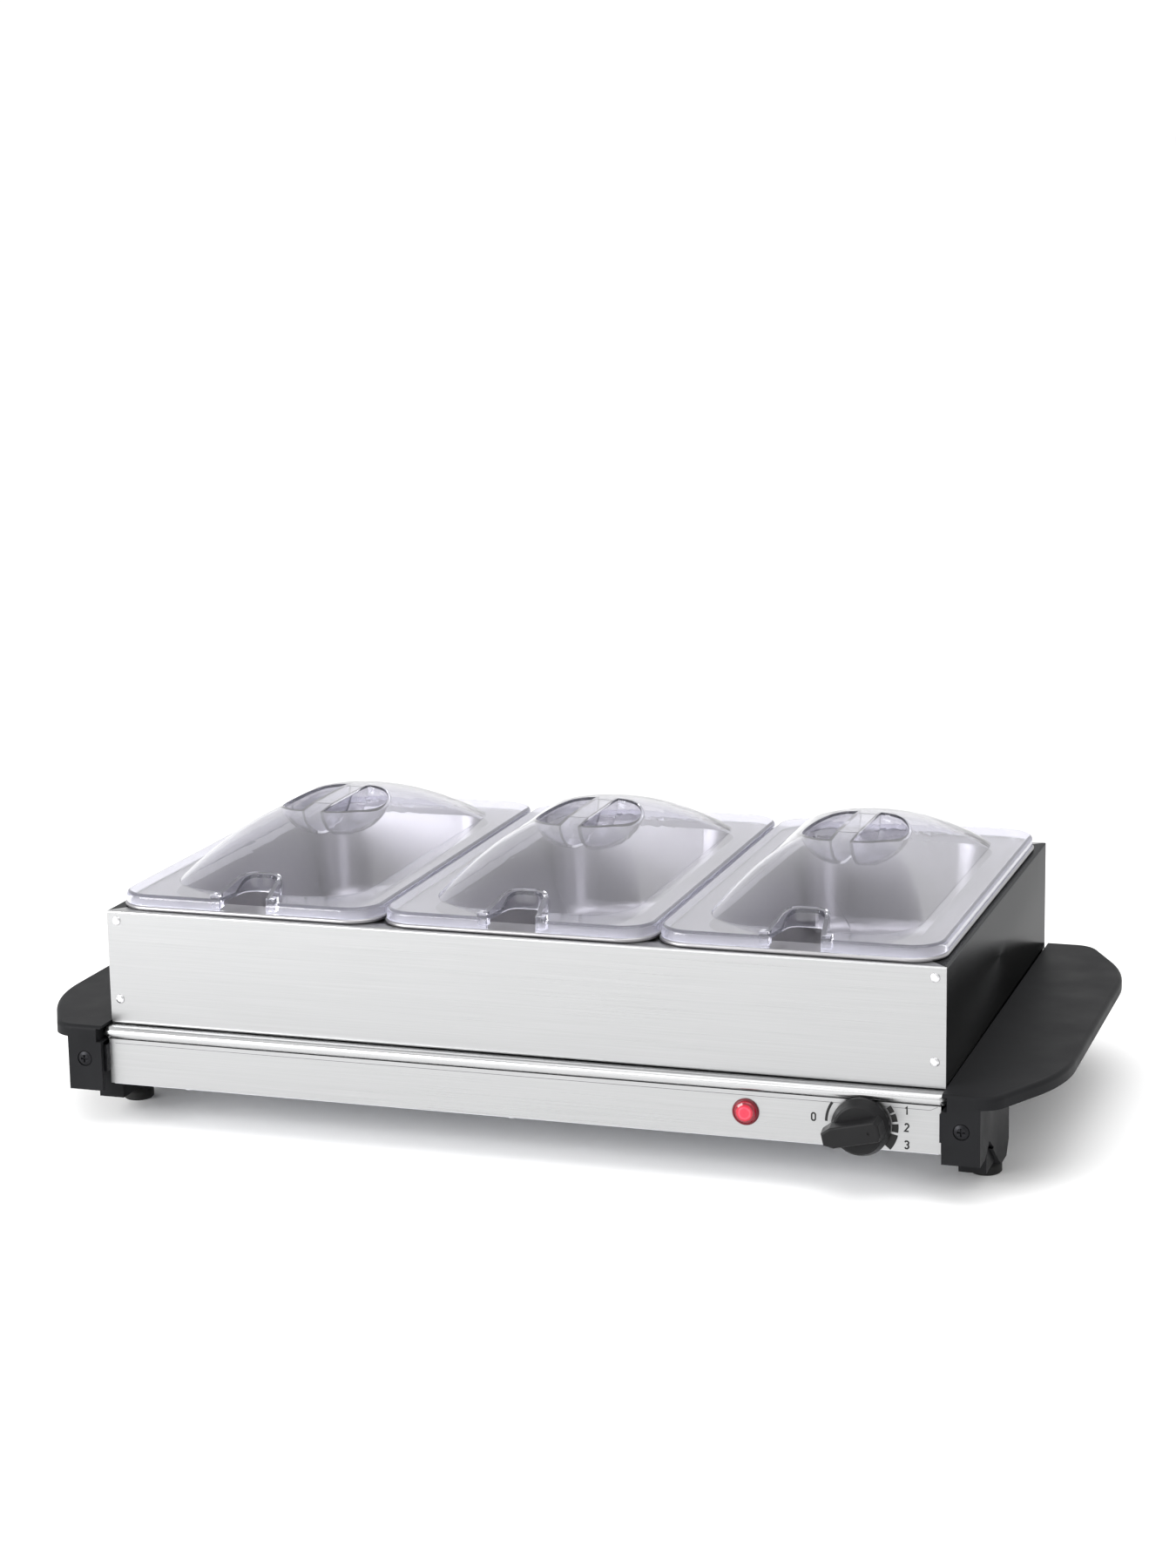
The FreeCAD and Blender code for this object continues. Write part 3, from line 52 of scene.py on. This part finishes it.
class Shader:
    """A material's node tree, built from short calls. Lengths in its patterns are in metres on the object."""

    def __init__(self, name):
        self.material = bpy.data.materials.new(name)
        self.material.use_nodes = True
        self.tree = self.material.node_tree
        self.tree.nodes.clear()
        self.place = self.tree.nodes.new("ShaderNodeTexCoord").outputs["Object"]

    def put(self, socket, value):
        if isinstance(value, bpy.types.NodeSocket):
            self.tree.links.new(value, socket)
        elif isinstance(value, tuple) and len(value) == 3 and socket.type == "RGBA":
            socket.default_value = (*value, 1.0)
        else:
            socket.default_value = value

    def node(self, kind, values=None, **settings):
        made = self.tree.nodes.new(kind)
        for key, value in settings.items():
            setattr(made, key, value)
        for key, value in (values or {}).items():
            self.put(made.inputs[key], value)
        return made

    def stretched(self, size):
        """The place on the object, in units of size: one length along each axis."""
        scale = tuple(1.0 / s for s in size)
        return self.node("ShaderNodeMapping", {"Vector": self.place, "Scale": scale}).outputs[0]

    def noise(self, size, detail=3.0, rough=0.55, seed=0.0):
        """Noise from 0 to 1 with features about size across: one length, or one along each axis."""
        sizes = size if isinstance(size, tuple) else (size, size, size)
        return self.node(
            "ShaderNodeTexNoise",
            {"Vector": self.stretched(sizes), "W": seed, "Scale": 1.0, "Detail": detail, "Roughness": rough},
            noise_dimensions="4D",
        ).outputs["Fac"]

    def cells(self, size):
        """Distance to the middle of the nearest cell, for the pitted grain of moulded plastic."""
        return self.node(
            "ShaderNodeTexVoronoi", {"Vector": self.stretched((size, size, size)), "Scale": 1.0}
        ).outputs["Distance"]

    def spread(self, value, low, high, start=0.0, end=1.0):
        """Turns value's range from start to end into low to high."""
        return self.node(
            "ShaderNodeMapRange",
            {"Value": value, "From Min": start, "From Max": end, "To Min": low, "To Max": high},
        ).outputs[0]

    def maths(self, what, a, b=0.0):
        return self.node("ShaderNodeMath", {0: a, 1: b}, operation=what).outputs[0]

    def between(self, factor, first, second):
        """A colour from first to second as factor goes from 0 to 1."""
        made = self.node("ShaderNodeMix", data_type="RGBA")
        self.put(made.inputs["Factor"], factor)
        self.put(made.inputs[6], first)
        self.put(made.inputs[7], second)
        return made.outputs[2]

    def bump(self, height, strength, depth, under=None):
        """A normal for bumps of the given depth in metres."""
        values = {"Height": height, "Strength": strength, "Distance": depth}
        if under is not None:
            values["Normal"] = under
        return self.node("ShaderNodeBump", values).outputs[0]

    def finish(self, shader):
        output = self.node("ShaderNodeOutputMaterial")
        self.tree.links.new(shader, output.inputs["Surface"])
        return self.material

    def principled(self, **values):
        named = {key.replace("_", " "): value for key, value in values.items()}
        return self.node("ShaderNodeBsdfPrincipled", named).outputs[0]


# ---------------------------------------------------------------- finishes

LONG, FINE = 0.06, 0.00022  # a brushing scratch's length and width
SOFT = (0.3, 0.7)  # the range that most of a noise's values lie in
CRISP = (0.34, 0.66)  # the same for brushing marks, with more contrast


def tone(base, factor):
    """A colour made darker or lighter."""
    return tuple(min(1.0, c * factor) for c in base)


def brushed(name, base, along="X", rough=0.3, shade=0.07, edge=1.0):
    """Steel brushed along one axis. A lower edge tints its glancing reflections darker."""
    s = Shader(name)
    grain = tuple(LONG if axis == along else FINE for axis in "XYZ")
    streak = tuple(LONG * 3 if axis == along else FINE * 3.5 for axis in "XYZ")
    fine_part = s.maths("MULTIPLY", s.noise(grain, 2.0, 0.6), 0.6)
    broad_part = s.maths("MULTIPLY", s.noise(streak, 3.0, 0.6, 4.0), 0.4)
    mark = s.maths("ADD", fine_part, broad_part)
    cloud = s.noise((0.2, 0.2, 0.05), 3.0, 0.5, 9.0)
    colour = s.between(s.spread(mark, 0.0, 1.0, *CRISP), tone(base, 1.0 - shade), tone(base, 1.0 + shade))
    scratched = s.spread(mark, -0.04, 0.04, *SOFT)
    uneven = s.maths("ADD", scratched, s.spread(cloud, rough - 0.02, rough + 0.02, *SOFT))
    around = "X" if along == "Z" else "Z"
    tangent = s.node("ShaderNodeTangent", direction_type="RADIAL", axis=around).outputs[0]
    return s.finish(
        s.principled(
            Base_Color=colour, Metallic=1.0, Roughness=uneven, Anisotropic=0.6, Tangent=tangent,
            Specular_Tint=(edge, edge, edge), Normal=s.bump(mark, 0.25, 0.00001),
        )
    )


def satin_steel(name, base, rough=0.24):
    """Pressed steel with a soft, faintly clouded surface."""
    s = Shader(name)
    grain = s.noise(0.0012, 3.0, 0.5)
    cloud = s.noise(0.05, 3.0, 0.5, 3.0)
    colour = s.between(s.spread(cloud, 0.0, 1.0, *SOFT), tone(base, 0.92), tone(base, 1.05))
    clouded = s.spread(cloud, rough - 0.03, rough + 0.03, *SOFT)
    uneven = s.maths("ADD", clouded, s.spread(grain, -0.02, 0.02, *SOFT))
    return s.finish(
        s.principled(Base_Color=colour, Metallic=1.0, Roughness=uneven, Normal=s.bump(cloud, 0.1, 0.0001))
    )


def plastic(name, base, rough=0.4, pit=0.0006, relief=0.00003, shade=0.2, gloss=0.5):
    """Moulded plastic with a fine sparked grain."""
    s = Shader(name)
    grain = s.cells(pit)
    cloud = s.noise(0.03, 3.0, 0.5, 2.0)
    colour = s.between(s.spread(cloud, 0.0, 1.0, *SOFT), tone(base, 1.0 - shade), tone(base, 1.0 + shade))
    uneven = s.spread(cloud, rough - 0.06, rough + 0.06, *SOFT)
    return s.finish(
        s.principled(
            Base_Color=colour, Roughness=uneven, Specular_IOR_Level=gloss, Normal=s.bump(grain, 0.3, relief)
        )
    )


def clear_plastic(name, tint, lit, haze_highlight_colour, skirt_low, skirt_high, rough=0.02):
    """Clear moulded plastic with faint flow waves.

    A trace of haze gathers light all over. Low in the skirt, between the two heights, the milky part rises as
    a painted highlight that stands in for the bright glints along the skirt's edge. Lamps shine straight
    through the plastic, so what it covers stays lit.
    """
    s = Shader(name)
    wave = s.noise(0.03, 2.0, 0.45)
    haze = s.noise(0.05, 3.0, 0.5, 5.0)
    normal = s.bump(wave, 0.1, 0.0003)
    glass = s.principled(
        Base_Color=s.between(s.spread(haze, 0.0, 1.0, *SOFT), tint, tone(tint, 1.02)),
        Transmission_Weight=1.0, IOR=1.45, Normal=normal,
        Roughness=s.spread(haze, rough * 0.5, rough * 1.5, 0.35, 0.7),
    )
    cloud = s.node("ShaderNodeBsdfDiffuse", {"Color": haze_highlight_colour, "Normal": normal}).outputs[0]
    height = s.node("ShaderNodeSeparateXYZ", {0: s.place}).outputs["Z"]
    # Painted highlight: more milky diffuse low in the skirt, fading to a trace of haze at the skirt's top.
    painted_highlight_by_height = s.spread(height, 0.16, 0.02, skirt_low, skirt_high)
    haze_and_painted_highlight = s.maths("ADD", painted_highlight_by_height, s.spread(haze, -0.01, 0.01, *SOFT))
    solid = s.node("ShaderNodeMixShader", {0: haze_and_painted_highlight, 1: glass, 2: cloud}).outputs[0]
    through = s.node("ShaderNodeBsdfTransparent", {"Color": lit}).outputs[0]
    lamps = s.node("ShaderNodeLightPath").outputs["Is Shadow Ray"]
    return s.finish(s.node("ShaderNodeMixShader", {0: lamps, 1: solid, 2: through}).outputs[0])


def plated(name, base, rough=0.32):
    """Plain plated metal on small fittings."""
    s = Shader(name)
    cloud = s.noise(0.004, 3.0, 0.6)
    turned = s.noise((0.003, 0.003, 0.0002), 2.0, 0.5, 6.0)
    colour = s.between(s.spread(cloud, 0.0, 1.0, *SOFT), tone(base, 0.85), tone(base, 1.1))
    return s.finish(
        s.principled(
            Base_Color=colour, Metallic=1.0, Roughness=s.spread(cloud, rough - 0.06, rough + 0.08, *SOFT),
            Normal=s.bump(turned, 0.25, 0.00002),
        )
    )


RING_BLUR = 0.0003  # how soft the edge of each ring in the lamp's lens is


def lamp_lens(name, axis, painted_light_rings, rough=0.12):
    """Red lens plastic with painted light in rings round a line along Y, from the middle out: (radius,
    colour) pairs. The lighter rings are painted glow of the lit lamp inside, the darker ones painted shade at
    the lens's thick curved edge.
    """
    s = Shader(name)
    away = s.node("ShaderNodeVectorMath", {0: s.place, 1: tuple(axis)}, operation="SUBTRACT").outputs[0]
    flat = s.node("ShaderNodeVectorMath", {0: away, 1: (1.0, 0.0, 1.0)}, operation="MULTIPLY").outputs[0]
    radius = s.node("ShaderNodeVectorMath", {0: flat}, operation="LENGTH").outputs["Value"]
    ripple = s.noise(0.0016, 2.0, 0.5)
    radius = s.maths("ADD", radius, s.spread(ripple, -0.0002, 0.0002, *SOFT))
    colour = painted_light_rings[0][1]
    for edge, beyond in painted_light_rings[1:]:
        colour = s.between(s.spread(radius, 0.0, 1.0, edge - RING_BLUR, edge + RING_BLUR), colour, beyond)
    return s.finish(
        s.principled(
            Base_Color=colour, Roughness=s.spread(ripple, rough - 0.04, rough + 0.04, *SOFT),
            Specular_IOR_Level=0.6, Normal=s.bump(ripple, 0.1, 0.0001),
        )
    )


def fibrous(name, base, size=0.004):
    """Pressed mineral wool, mica or woven sleeve."""
    s = Shader(name)
    fibre = s.noise((size, size * 0.25, size * 0.25), 5.0, 0.7)
    colour = s.between(s.spread(fibre, 0.0, 1.0, 0.35, 0.65), tone(base, 0.7), base)
    return s.finish(s.principled(Base_Color=colour, Roughness=0.85, Normal=s.bump(fibre, 0.6, 0.0003)))


BLACK = (0.011, 0.0112, 0.0122)
# The lids' last colour is for their haze and for the painted highlight low in their skirts.
LID_TINT, LID_LIT, LID_HAZE_HIGHLIGHT = (0.82, 0.815, 0.86), (0.85, 0.85, 0.87), (0.78, 0.78, 0.9)
LID_SKIRT = 0.0065
lid_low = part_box("lid_centre")[0]
LAMP_AT = sum(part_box("indicator_lens"), Vector()) / 2
# Painted light on the lens: the lighter red ring stands in for the glow of the lit lamp inside, the dark red
# ring for shade at the lens's thick curved edge.
LENS_PAINTED_LIGHT_RINGS = [
    (0.0, (0.62, 0.012, 0.04)), (0.0027, (0.78, 0.05, 0.09)), (0.0036, (0.4, 0.004, 0.022)),
    (0.0048, (0.13, 0.002, 0.01)), (0.0058, (0.3, 0.004, 0.018)),
]

FINISHES = {
    "plate_steel": brushed("plate_steel", (0.46, 0.462, 0.465), rough=0.24),
    "panel_steel": brushed("panel_steel", (0.4, 0.402, 0.405), rough=0.3, shade=0.07),
    "zinc_steel": plated("zinc_steel", (0.5, 0.51, 0.54), 0.42),
    "frame_steel": brushed("frame_steel", (0.39, 0.392, 0.395), rough=0.3, shade=0.07),
    # The side walls' steel carries painted shade: its base is far darker than the frame's steel and its
    # glancing reflections are tinted darker, so the side walls look shaded.
    "frame_side_steel": brushed(
        "frame_side_steel", (0.15, 0.152, 0.155), along="Z", rough=0.22, shade=0.04, edge=0.35
    ),
    "divider_steel": brushed("divider_steel", (0.5, 0.505, 0.515), along="Y", rough=0.3),
    "rivet_aluminium": plated("rivet_aluminium", (0.62, 0.62, 0.63), 0.26),
    "pan_steel": satin_steel("pan_steel", (0.34, 0.335, 0.345), 0.34),
    "lid_plastic": clear_plastic(
        "lid_plastic", LID_TINT, LID_LIT, LID_HAZE_HIGHLIGHT, lid_low.z, lid_low.z + LID_SKIRT
    ),
    "handle_plastic": plastic("handle_plastic", BLACK, 0.5, gloss=0.06),
    "knob_plastic": plastic("knob_plastic", (0.008, 0.008, 0.0085), 0.38, pit=0.0004, gloss=0.15),
    "foot_rubber": plastic("foot_rubber", (0.014, 0.014, 0.014), 0.62, pit=0.0008, gloss=0.2),
    "bush_rubber": plastic("bush_rubber", (0.014, 0.014, 0.015), 0.5, pit=0.0006, gloss=0.25),
    "black_screw": plated("black_screw", (0.02, 0.02, 0.022), 0.42),
    "screw_steel": plated("screw_steel", (0.6, 0.6, 0.61), 0.3),
    "lens_plastic": lamp_lens("lens_plastic", LAMP_AT, LENS_PAINTED_LIGHT_RINGS),
    "bezel_plastic": plastic("bezel_plastic", (0.09, 0.003, 0.008), 0.3, pit=0.0006, gloss=0.3),
    "lamp_plastic": plastic("lamp_plastic", (0.75, 0.74, 0.7), 0.45),
    "neon_glass": plastic("neon_glass", (0.8, 0.45, 0.3), 0.15),
    "ceramic_white": plastic("ceramic_white", (0.82, 0.8, 0.76), 0.5, shade=0.06),
    "terminal_plastic": plastic("terminal_plastic", (0.8, 0.79, 0.74), 0.4, shade=0.05),
    "mica": fibrous("mica", (0.55, 0.5, 0.4)),
    "element_wire": plated("element_wire", (0.42, 0.38, 0.34), 0.5),
    "insulation_wool": fibrous("insulation_wool", (0.8, 0.78, 0.72)),
    "brass_parts": plated("brass_parts", (0.78, 0.58, 0.26), 0.3),
    "lead_sleeve": fibrous("lead_sleeve", (0.7, 0.68, 0.62), 0.001),
}

for part in frame["record"]["subparts"]:
    mesh = nodes[part["node"]].data
    mesh.materials.clear()
    mesh.materials.append(FINISHES[part["material_slot"]])


# ---------------------------------------------------------------- printed scale round the knob

panel_low, panel_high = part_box("front_panel")
shaft_low, shaft_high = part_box("thermostat_shaft")
KNOB_MIDDLE = (shaft_low + shaft_high) / 2
PRINT_FACE = panel_low.y
PRINT_NEAR, PRINT_FAR = 0.00001, 0.00006  # the ink's back and front, ahead of the panel's face
ink = plastic("scale_ink", (0.012, 0.012, 0.012), 0.5, pit=0.0003, gloss=0.3)


def printed(name, strips):
    """Thin ink bands on the front panel, each from pairs of (x, z) points along its two sides."""
    shape = bmesh.new()
    for strip in strips:
        rows = [
            [shape.verts.new((x, PRINT_FACE - lift, z)) for lift in (PRINT_NEAR, PRINT_FAR) for x, z in pair]
            for pair in strip
        ]
        for near, far in zip(rows, rows[1:]):
            for i, j in ((0, 1), (1, 3), (3, 2), (2, 0)):
                shape.faces.new((near[i], near[j], far[j], far[i]))
        for end in (rows[0], rows[-1]):
            shape.faces.new((end[0], end[1], end[3], end[2]))
    bmesh.ops.recalc_face_normals(shape, faces=shape.faces[:])
    mesh = bpy.data.meshes.new(name)
    shape.to_mesh(mesh)
    shape.free()
    mesh.materials.append(ink)
    piece = bpy.data.objects.new(name, mesh)
    bpy.context.scene.collection.objects.link(piece)
    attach(piece, "base")
    return piece


def sector(inner, outer, start, end, steps=10):
    """A block of a ring round the knob, between two angles in degrees anticlockwise from the right."""
    turns = [math.radians(start + (end - start) * i / steps) for i in range(steps + 1)]
    return [
        [(KNOB_MIDDLE.x + r * math.cos(t), KNOB_MIDDLE.z + r * math.sin(t)) for r in (inner, outer)]
        for t in turns
    ]


# Inner and outer radius, and the two angles that each block runs between.
SCALE_BLOCKS = [
    (0.0194, 0.0209, 146, 179), (0.0169, 0.0198, 26, 38), (0.0168, 0.0199, 9.5, 23),
    (0.0164, 0.0201, -9, 5.5), (0.016, 0.0203, -40, -13),
]
printed("scale_blocks", [sector(*block) for block in SCALE_BLOCKS])

# Numerals on a grid 2 wide and 4 tall, each a pen stroke through its points.
NUMERAL_TALL, GRID_TALL = 0.0042, 4
PEN = 0.00045  # half the stroke's width
MITRE_LIMIT = 0.5
STROKES = {
    "0": [(0.6, 0), (1.4, 0), (2, 0.7), (2, 3.3), (1.4, 4), (0.6, 4), (0, 3.3), (0, 0.7), (0.6, 0)],
    "1": [(0.3, 3.2), (1.1, 4), (1.1, 0)],
    "2": [(0, 3.2), (0.6, 4), (1.4, 4), (2, 3.3), (2, 2.6), (0, 0), (2, 0)],
    "3": [
        (0, 3.4), (0.6, 4), (1.4, 4), (2, 3.4), (2, 2.7), (1.3, 2.1), (2, 1.5), (2, 0.6), (1.4, 0), (0.6, 0),
        (0, 0.6),
    ],
}
# Each numeral's left edge and middle height, from the middle of the knob.
NUMERAL_PLACES = {
    "0": (-0.0283, 0.0022), "1": (0.0235, 0.0098), "2": (0.0235, 0.0004), "3": (0.0235, -0.0094),
}


def stroke(points):
    """A pen stroke along a polyline with mitred turns. One that comes back to its start closes neatly."""
    closed = (points[0] - points[-1]).length < PEN / 10
    ways = [(after - point).normalized() for point, after in zip(points, points[1:])]
    strip = []
    for i, point in enumerate(points):
        before = ways[i - 1] if i or closed else ways[0]
        after = ways[i] if i < len(ways) else ways[0] if closed else ways[-1]
        way = (before + after).normalized()
        side = Vector((-way.y, way.x)) * (PEN / max(MITRE_LIMIT, way.dot(before)))
        strip.append([tuple(point + side), tuple(point - side)])
    return strip


for figure, (aside, lift) in NUMERAL_PLACES.items():
    unit = NUMERAL_TALL / GRID_TALL
    origin = Vector((KNOB_MIDDLE.x + aside, KNOB_MIDDLE.z + lift - NUMERAL_TALL / 2))
    printed(f"scale_numeral_{figure}", [stroke([origin + Vector(p) * unit for p in STROKES[figure]])])

# The hairline seam below the front panel's upper bend, which turns up at its right end.
SEAM_DROP, SEAM_TALL = 0.0023, 0.00028
SEAM_LEFT_GAP, SEAM_RIGHT_GAP = 0.003, 0.005
SEAM_HOOK_WIDE, SEAM_HOOK_TALL = 0.004, 0.002
seam_z, seam_end = panel_high.z - SEAM_DROP, panel_high.x - SEAM_RIGHT_GAP
seam_path = [
    (panel_low.x + SEAM_LEFT_GAP, seam_z), (seam_end, seam_z),
    (seam_end + SEAM_HOOK_WIDE, seam_z + SEAM_HOOK_TALL),
]
seam = [[(x, z), (x, z - SEAM_TALL)] for x, z in seam_path]
hairline = printed("panel_seam", [seam])
hairline.data.materials[0] = plated("seam_shadow", (0.16, 0.16, 0.165), 0.5)


# ---------------------------------------------------------------- camera, floor and lights

# Fitted to the photo's view. The angles are in radians.
CAMERA_AT = Vector((0.58282, -1.74917, 0.58751))
CAMERA_TURN, CAMERA_DOWN, CAMERA_ROLL = 0.3210089, 0.2130893, -0.0181526
LENS, SENSOR = 72.63, 36.0

camera_data = bpy.data.cameras.new("camera")
camera_data.lens = LENS
camera_data.sensor_width = SENSOR
camera = bpy.data.objects.new("camera", camera_data)
bpy.context.scene.collection.objects.link(camera)
turn_cos, turn_sin = math.cos(CAMERA_TURN), math.sin(CAMERA_TURN)
down_cos, down_sin = math.cos(CAMERA_DOWN), math.sin(CAMERA_DOWN)
right = Vector((turn_cos, turn_sin, 0))
ahead = Vector((-turn_sin * down_cos, turn_cos * down_cos, -down_sin))
above = right.cross(ahead)
roll_cos, roll_sin = math.cos(CAMERA_ROLL), math.sin(CAMERA_ROLL)
across = right * roll_cos + above * roll_sin
upward = above * roll_cos - right * roll_sin
camera.matrix_world = Matrix.Translation(CAMERA_AT) @ Matrix((across, upward, -ahead)).transposed().to_4x4()
bpy.context.scene.camera = camera

FLOOR_HALF = 40.0
FLOOR_DARK, FLOOR_LIGHT = (0.95, 0.95, 0.95), (0.96, 0.96, 0.96)
floor_mesh = bpy.data.meshes.new("floor")
corners = [(x * FLOOR_HALF, y * FLOOR_HALF, 0) for x, y in ((-1, -1), (1, -1), (1, 1), (-1, 1))]
floor_mesh.from_pydata(corners, [], [(0, 1, 2, 3)])
floor = bpy.data.objects.new("floor", floor_mesh)
bpy.context.scene.collection.objects.link(floor)
pale = Shader("floor_pale")
floor_mesh.materials.append(
    pale.finish(
        pale.principled(
            Base_Color=pale.between(pale.noise(0.4), FLOOR_DARK, FLOOR_LIGHT), Roughness=0.9,
            Specular_IOR_Level=0.2,
        )
    )
)


def softbox(name, at, towards, size, power):
    """A soft lamp of the given width and height, aimed at a point."""
    data = bpy.data.lights.new(name, "AREA")
    data.shape = "RECTANGLE"
    data.size, data.size_y = size
    data.energy = power
    lamp = bpy.data.objects.new(name, data)
    bpy.context.scene.collection.objects.link(lamp)
    lamp.location = at
    lamp.rotation_mode = "QUATERNION"
    lamp.rotation_quaternion = (Vector(towards) - Vector(at)).to_track_quat("-Z", "Y")


MIDDLE = (0.0, 0.0, 0.08)
softbox("key", at=(-1.45, -1.85, 0.85), towards=MIDDLE, size=(1.4, 1.2), power=62.0)
softbox("over", at=(0.5, -0.7, 2.6), towards=MIDDLE, size=(2.6, 2.2), power=36.0)

STUDIO_LIGHT = 1.06
world = bpy.data.worlds.new("studio")
bpy.context.scene.world = world
world.use_nodes = True
background = world.node_tree.nodes["Background"]
background.inputs["Color"].default_value = (1.0, 1.0, 1.0, 1.0)
background.inputs["Strength"].default_value = STUDIO_LIGHT
bpy.context.scene.view_settings.view_transform = "Standard"
